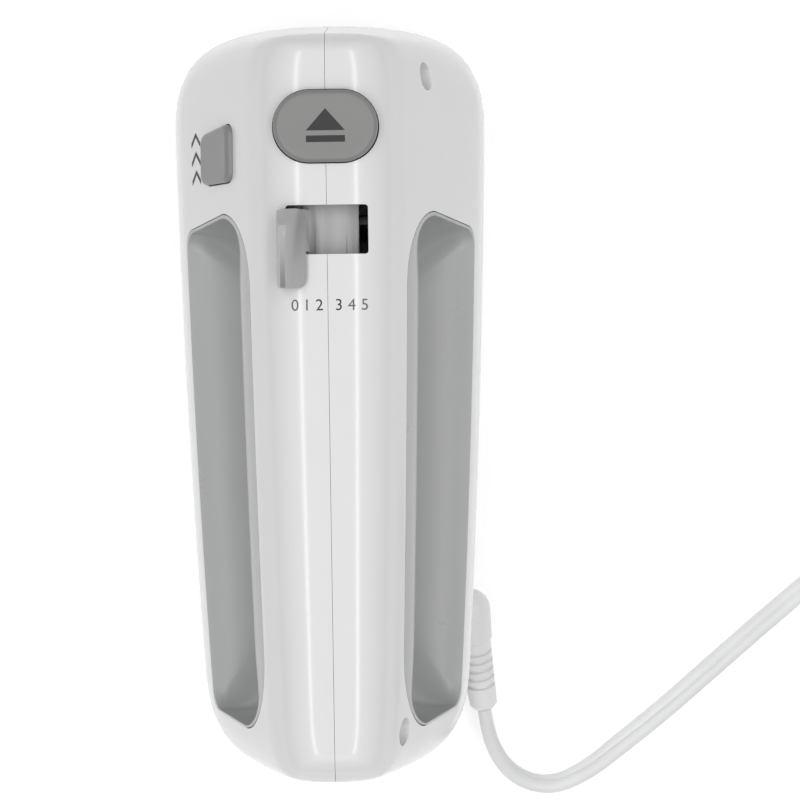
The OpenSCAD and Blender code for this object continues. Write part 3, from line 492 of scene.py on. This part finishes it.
def obround(width, depth, grow=0.0, count=24):
    """Outline of a slot with round ends, lengthwise on X, grown by grow."""
    radius, run = depth / 2, (width - depth) / 2
    outline = []
    for s, start in ((1, -90), (-1, 90)):
        for i in range(count + 1):
            a = math.radians(start + 180 * i / count)
            outline.append((s * run + (radius + grow) * math.cos(a), (radius + grow) * math.sin(a)))
    return outline


def rounded_rect(width, depth, radius, grow=0.0, count=8):
    outline = []
    for sx, sy, start in ((1, 1, 0), (-1, 1, 90), (-1, -1, 180), (1, -1, 270)):
        for i in range(count + 1):
            a = math.radians(start + 90 * i / count)
            outline.append((sx * (width / 2 - radius) + (radius + grow) * math.cos(a),
                            sy * (depth / 2 - radius) + (radius + grow) * math.sin(a)))
    return outline


TURBO_Y, TURBO_Z, TURBO_W, TURBO_H, TURBO_R = NOSE_Y - 38, SPLIT_Z - 20, 14.4, 19.0, 3.0


def turbo_outline(grow, count=8):
    """Outline of the turbo button in (y, z); its front edge leans forward towards the crown."""
    r = (TURBO_R + grow, TURBO_R + grow)
    h, lean = TURBO_H / 2 - TURBO_R, math.tan(math.radians(6))
    yf, yr = TURBO_Y + TURBO_W / 2 - TURBO_R, TURBO_Y - TURBO_W / 2 + TURBO_R
    return (oval_arc((yf + h * lean, TURBO_Z + h), r, 90, -6, count)
            + oval_arc((yf - h * lean, TURBO_Z - h), r, -6, -90, count)
            + oval_arc((yr, TURBO_Z - h), r, -90, -180, count)
            + oval_arc((yr, TURBO_Z + h), r, 180, 90, count))


def post(y, z):
    return y, z - float(sink(y, z)), side_x(y, z), z


POST_R, HEAD_ROOM, SEAT_DEEP, PILOT_R = 5.0, 3.7, 7.0, 1.8
POSTS = [post(NOSE_Y - 18, SPLIT_Z - 13), post(TAIL_Y + 15.5, SPLIT_Z - 2),
         post(NOSE_Y - 9, 24), post(TAIL_Y + 12, 24), post(-22, 9)]
RELIEF_Y, RELIEF_Z = TAIL_Y + 42.5, 26.0
RELIEF_X = side_x(RELIEF_Y, RELIEF_Z) + 1
VENTS = [TAIL_Y + 39 + 6 * i for i in range(6)] + [NOSE_Y - 65 + 6 * i for i in range(2)]


def posts_solid(side):
    """The screw posts, each ending half a wall inside the flank."""
    solids = []
    for y, z, x, level in POSTS:
        outline = circle(y, z, POST_R, 40)
        near = [(side * 0.2, a, b) for a, b in outline]
        far = [(side * (side_x(a, b + level - z) - WALL / 2), a, b) for a, b in outline]
        solids.append(stack("post", [near, far], FINISH["housing"]))
    return merge_objects("posts", solids)


def housing_half(side):
    """One half of the shell with its posts and openings."""
    piece = shell(side, 4, 2)
    piece.name = "right_shell" if side > 0 else "left_shell"
    boolean(piece, posts_solid(side), "UNION")
    loop = [(y, z - float(sink(y, z))) for y, z in rim_loop(0.25)]
    cuts = [prism("grip", loop, "x", side * 6, side * OUTSIDE),
            prism("socket", circle(side * SPINDLE_X, SPINDLE_Y, 7.5), "z", -1, WALL + 1)]
    for y in VENTS:
        vent = [(side * 15 + a, y + b) for a, b in obround(17.6, 2.6, count=10)]
        cuts.append(prism("vent", vent, "z", -1, WALL + 1))
    for y, z, x, level in POSTS:
        if side > 0:
            cuts.append(prism("recess", circle(y, z, HEAD_ROOM), "x", x - SEAT_DEEP, OUTSIDE))
        pilot_end = side * (x - SEAT_DEEP + (0.1 if side > 0 else 1))
        cuts.append(prism("pilot", circle(y, z, PILOT_R, 24), "x", -side, pilot_end))
    if side > 0:
        cuts.append(prism("lead_hole", circle(RELIEF_Y, RELIEF_Z, 4.7), "x", RELIEF_X - 8, RELIEF_X + 8))
    else:
        cuts.append(prism("turbo", turbo_outline(FIT), "x", -OUTSIDE, -12))
    boolean(piece, merge_objects("cuts", cuts))
    key = [(a, b + SPINDLE_Y) for a, b in obround(KEY_W + 2 * FIT, KEY_D + 2 * FIT)]
    slot = [(a, b + SLOT_Y) for a, b in rounded_rect(SLOT_W, SLOT_D, SLOT_R)]
    top = [prism("key", key, "z", BODY_H - 20, BODY_H + 10),
           prism("slot", slot, "z", BODY_H - 12, BODY_H + 10)]
    boolean(piece, merge_objects("top_cuts", top))
    finish_cut(piece, FINISH["housing"])
    return piece


def on_flank(y, z):
    return np.array([flank_at(y, z), y, z])


def liner(side):
    """One grey liner: from a rounded lip on the flank, in to the finger opening."""
    p, q = rim_loop(0), clear_loop(0)
    p_out, q_out = rim_loop(LINER_WALL), clear_loop(LINER_WALL)
    rows = None
    for (py, pz), (qy, qz), (oy, oz), (ry, rz) in zip(p, q, p_out, q_out):
        hug = min(max((pz - APEX_Z) / (SPLIT_Z - APEX_Z), 0), 1)
        rim = on_flank(py, pz)
        lip = on_flank(py + 0.1 * (qy - py), pz + 0.1 * (qz - pz))
        turn = hug * on_flank(qy, qz) + (1 - hug) * (rim - [7, 0, 0])
        reach = 20.0 * float(taper(qy))
        inner = np.array([reach, qy, qz])
        cut = [rim - [0.9, 0, 0], rim - [0.25, 0, 0], rim]
        for i in range(13):
            t = i / 12
            cut.append((1 - t) ** 2 * lip + 2 * t * (1 - t) * turn + t * t * inner)
        cut += [inner * [0.5, 1, 1], [SEAM, qy, qz], [SEAM, ry, rz], [reach - LINER_WALL, ry, rz],
                [rim[0] - WALL - 1.7, oy, oz], rim - [WALL + 0.8, 0, 0]]
        if rows is None:
            rows = [[] for _ in cut]
        for row, point in zip(rows, cut):
            row.append(point)
    points = bowed(np.concatenate([np.array(r, float) for r in rows]))
    points[:, 0] *= side
    faces = grid_faces(len(rows), len(rows[0]), close_rows=True, close_cols=True)
    name = "right_grip_skin" if side > 0 else "left_grip_skin"
    return new_piece(name, points, faces, FINISH["liner"], sharp=50)


for side, label in ((1, "right"), (-1, "left")):
    half = housing_half(side)
    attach(half, "housing")
    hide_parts(f"{label}_housing")
    skin = liner(side)
    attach(skin, "housing")
    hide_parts(f"{label}_grip_liner")


# ---------------------------------------------------------------- the lead
LEAD_W, LEAD_T = 6.3, 3.8
LEAD_ROUTE = [(40.8, -88.4, 15.6), (41.7, -94, 13.4), (43.2, -99.4, 10.7), (46, -104.8, 7.6),
              (50.4, -109.2, 4.9), (56.2, -111.6, 3.6), (63, -111.3, 3.1), (71.4, -107.2, 2.9),
              (80, -100.8, 2.7), (92.8, -90.8, 2.5), (105.8, -79.8, 2.3), (119, -68.6, 2.2),
              (132, -57.8, 2.2), (143.4, -48.4, 2.2)]
TAIL_ROUTE = [(221.7, -96.6, 6.2), (222.2, -100.6, 6.5), (222.8, -105, 7)]
COIL_AT = (183.0, -70.0)


def coil_route():
    """Two layers of turns, wound clockwise: in along the lower layer and out along the upper."""
    route = []
    for turned in range(24, 1622, 12):
        radius = float(np.interp(turned, [0, 60, 780, 900, 1560, 1621],
                                 [45.1, 41.6, 28.4, 28.6, 41.2, 44.6]))
        height = float(np.interp(turned, [780, 900], [2.2, 2.2 + LEAD_T]))
        a = math.radians(151.4 - turned)
        route.append((COIL_AT[0] + radius * math.cos(a), COIL_AT[1] + radius * math.sin(a), height))
    return route


def smooth_path(route, step):
    """Evenly spaced points along a smooth curve through a route."""
    pts = np.array(route, float)
    dense = []
    for i in range(len(pts) - 1):
        p0, p1, p2, p3 = pts[max(i - 1, 0)], pts[i], pts[i + 1], pts[min(i + 2, len(pts) - 1)]
        for t in np.linspace(0, 1, 12, endpoint=False):
            dense.append(0.5 * (2 * p1 + (p2 - p0) * t + (2 * p0 - 5 * p1 + 4 * p2 - p3) * t * t
                                + (3 * p1 - p0 - 3 * p2 + p3) * t ** 3))
    dense.append(pts[-1])
    dense = np.array(dense)
    along = np.concatenate([[0], np.cumsum(np.linalg.norm(np.diff(dense, axis=0), axis=1))])
    at = np.linspace(0, along[-1], int(along[-1] / step) + 1)
    return np.stack([np.interp(at, along, dense[:, k]) for k in range(3)], axis=1), at


def twin_section(count=14):
    """Two round cores side by side in one jacket, with a shallow valley between them."""
    core, apart = LEAD_T / 2, (LEAD_W - LEAD_T) / 2
    meet = math.degrees(math.acos(apart / core)) * 0.62
    outline = []
    for s, start in ((1, -180 + meet), (-1, meet)):
        for i in range(count + 1):
            a = math.radians(start + (360 - 2 * meet) * i / count)
            outline.append((s * apart + core * math.cos(a), core * math.sin(a)))
    return outline


def make_lead():
    """The flat lead in one run: sleeve, table, hank and plug."""
    path, along = smooth_path(LEAD_ROUTE + coil_route() + TAIL_ROUTE, 2.4)
    outline = twin_section()
    tangents = np.gradient(path, axis=0)
    tangents /= np.linalg.norm(tangents, axis=1)[:, None]
    rings = []
    for p, t, s in zip(path, tangents, along):
        twist = math.radians(float(np.interp(s, [0, 12, 60, 110], [88, 82, 30, 0])))
        out = np.cross(t, [0, 0, 1])
        out /= np.linalg.norm(out)
        up = np.cross(out, t)
        wide = math.cos(twist) * out + math.sin(twist) * up
        thick = np.cross(wide, t)
        rings.append([p + a * wide + b * thick for a, b in outline])
    lead = stack("flat_lead", rings, FINISH["cord"], sharp=60)
    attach(lead, "housing")
    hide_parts("power_cord", "cord_coil", "cord_tail")


make_lead()


# ---------------------------------------------------------------- keys and lever
def ease(grow, drop, steps):
    """(grow, drop) pairs round a quarter of an edge, from the side up to the top."""
    turns = [math.pi / 2 * i / steps for i in range(steps + 1)]
    return [(-grow * (1 - math.cos(a)), -drop * (1 - math.sin(a))) for a in turns]


DISH_IN, DISH_Z = [1.5, 2.6, 4.2, 6.2, 8.4], [0, -0.05, -0.16, -0.24, -0.28]


def eject_key():
    """The long round key, slightly dished, with its stem."""
    top = crown_z(0, SPINDLE_Y) + KEY_RISE
    floor = crown_z(0, SPINDLE_Y) - KEY_DEEP
    rings = [[(a, b + SPINDLE_Y, floor) for a, b in obround(KEY_W, KEY_D, -0.2)]]
    for grow, drop in [(0, -2.4)] + ease(1.5, 1.5, 7):
        rings.append([(a, b + SPINDLE_Y, top + drop) for a, b in obround(KEY_W, KEY_D, grow)])
    for inset, dish in zip(DISH_IN[1:], DISH_Z[1:]):
        rings.append([(a, b + SPINDLE_Y, top + dish) for a, b in obround(KEY_W, KEY_D, -inset)])
    key = stack("eject_key", rings, FINISH["eject_button"], sharp=60)
    square = [(sx * 3, SPINDLE_Y + sy * 3) for sx, sy in ((-1, -1), (1, -1), (1, 1), (-1, 1))]
    stem = prism("stem", square, "z", floor - KEY_STEM, floor + 0.5)
    whole = merge_objects("eject_key", [key, stem])
    finish_cut(whole, FINISH["eject_button"], sharp=60)
    whole.name = "eject_key"
    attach(whole, "eject")
    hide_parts("eject_button")
    return top


def turbo_key():
    """The turbo key, its face along the flank and its edge rounded."""
    slope = FLANK_RUN / (SPLIT_Z - WAIST_Z)
    face = -flank_at(TURBO_Y, TURBO_Z) - 1.3

    def ring_at(grow, depth):
        return [(face + depth + (z - TURBO_Z) * slope, y, z) for y, z in turbo_outline(grow)]
    rings = [[(-flank_at(TURBO_Y, TURBO_Z) + 7, y, z) for y, z in turbo_outline(0)]]
    for grow, drop in [(0, -1.6)] + ease(1.1, 1.1, 6):
        rings.append(ring_at(grow, -drop))
    rings += [ring_at(-1.7, 0.0), ring_at(-2.6, 0.06)]
    key = stack("turbo_key", rings, FINISH["turbo_button"], sharp=60)
    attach(key, "turbo")
    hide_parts("turbo_button")


eject_top = eject_key()
turbo_key()


def softened(node, label, body, slot, width, segments=3):
    """A copy of a plain piece with its sharp edges rounded."""
    source = nodes[node]
    mesh = source.data.copy()
    mesh.transform(source.matrix_world)
    work = bmesh.new()
    work.from_mesh(mesh)
    bmesh.ops.remove_doubles(work, verts=work.verts, dist=1e-6)
    bmesh.ops.dissolve_limit(work, angle_limit=math.radians(1.5), verts=work.verts, edges=work.edges)
    work.to_mesh(mesh)
    work.free()
    piece = bpy.data.objects.new(label, mesh)
    scene.collection.objects.link(piece)
    step = piece.modifiers.new("round", "BEVEL")
    step.width, step.segments, step.limit_method = width * MM, segments, "ANGLE"
    step.angle_limit = math.radians(35)
    settle(piece)
    finish_cut(piece, FINISH[slot], sharp=28)
    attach(piece, body)
    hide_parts(node)
    return piece


softened("speed_lever", "lever_key", "lever", "speed_lever", 0.6)
softened("plug_body", "plug_skin", "housing", "plug", 0.35)
softened("cord_tie", "tie_band", "housing", "tie", 0.3)


# ---------------------------------------------------------------- printed marks
def patch(corners, along, across):
    """A grid of quads between four corners given in order round the patch."""
    a, b, c, d = (np.array(p, float) for p in corners)
    points = []
    for i in range(along + 1):
        s, e = a + (b - a) * i / along, d + (c - d) * i / along
        points += [s + (e - s) * j / across for j in range(across + 1)]
    return points, grid_faces(along + 1, across + 1)


def mark(name, patches, lay, mat, body):
    """Thin print made of patches; lay puts a flat point onto the surface."""
    points, faces = [], []
    for flat, quads in patches:
        start = len(points)
        points += [lay(*p) for p in flat]
        faces += [tuple(start + i for i in quad) for quad in quads]
    piece = new_piece(name, points, faces, mat, outward=False)
    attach(piece, body)


def key_lay(x, y):
    inset = KEY_D / 2 - math.hypot(max(abs(x) - (KEY_W - KEY_D) / 2, 0), y)
    dish = float(np.interp(inset, DISH_IN, DISH_Z))
    return x, SPINDLE_Y + y, eject_top + dish + 0.03


def flank_lay(y, z):
    return -side_x(y, z + float(sink(y, z))) - 0.05, y, z


mark("eject_sign", [patch([(-5, -1.2), (5, -1.2), (0.06, 4.4), (-0.06, 4.4)], 10, 8),
                    patch([(-5, -4.2), (5, -4.2), (5, -2.5), (-5, -2.5)], 10, 2)],
     key_lay, INK, "eject")
chevrons = []
for tip in (62.0, 67.0, 72.0):
    for s in (-1, 1):
        arm = [(tip - back, 82.0 + s * reach) for back, reach in ((0, 0), (1.3, 0), (4.1, 3.1), (2.8, 3.1))]
        chevrons.append(patch(arm if s > 0 else arm[::-1], 1, 4))
mark("turbo_sign", chevrons, flank_lay, INK, "housing")


def digit(text, x, mat):
    """One printed digit that follows the crown."""
    curve = bpy.data.curves.new("digit_" + text, "FONT")
    curve.body, curve.size, curve.align_x, curve.align_y = text, 4.15, "CENTER", "CENTER"
    curve.resolution_u = 6
    shape = bpy.data.objects.new("digit_" + text, curve)
    scene.collection.objects.link(shape)
    mesh = bpy.data.meshes.new_from_object(shape.evaluated_get(bpy.context.evaluated_depsgraph_get()))
    bpy.data.objects.remove(shape)
    work = bmesh.new()
    work.from_mesh(mesh)
    for v in work.verts:
        px, py = v.co.x + x, v.co.y + 24.0
        v.co = Vector((px, py, crown_z(px, py) + 0.04)) * MM
    work.to_mesh(mesh)
    work.free()
    mesh.materials.clear()
    mesh.materials.append(mat)
    piece = bpy.data.objects.new("digit_" + text, mesh)
    scene.collection.objects.link(piece)
    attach(piece, "housing")


# The outer four digits are drawn in the paler ink, the middle two in the dark ink.
for text, x, mat in (("0", -8.45, PALE_INK), ("1", -5.38, PALE_INK), ("2", -2.17, INK),
                     ("3", 2.82, INK), ("4", 6.15, PALE_INK), ("5", 9.48, PALE_INK)):
    digit(text, x, mat)


# ---------------------------------------------------------------- floor
def set_floor():
    """A pale floor, with a faint glow that keeps it even to its edges."""
    mat = plain("studio_floor", (0.93, 0.93, 0.93), 0.8, grain=0.002)
    glow = mat.node_tree.nodes["Principled BSDF"].inputs
    glow["Emission Color"].default_value = (1, 1, 1, 1)
    glow["Emission Strength"].default_value = 0.3
    floor = new_piece("floor", [(-3000, -3000, -0.1), (3000, -3000, -0.1), (3000, 3000, -0.1),
                                (-3000, 3000, -0.1)], [(0, 1, 2, 3)], mat)


set_floor()
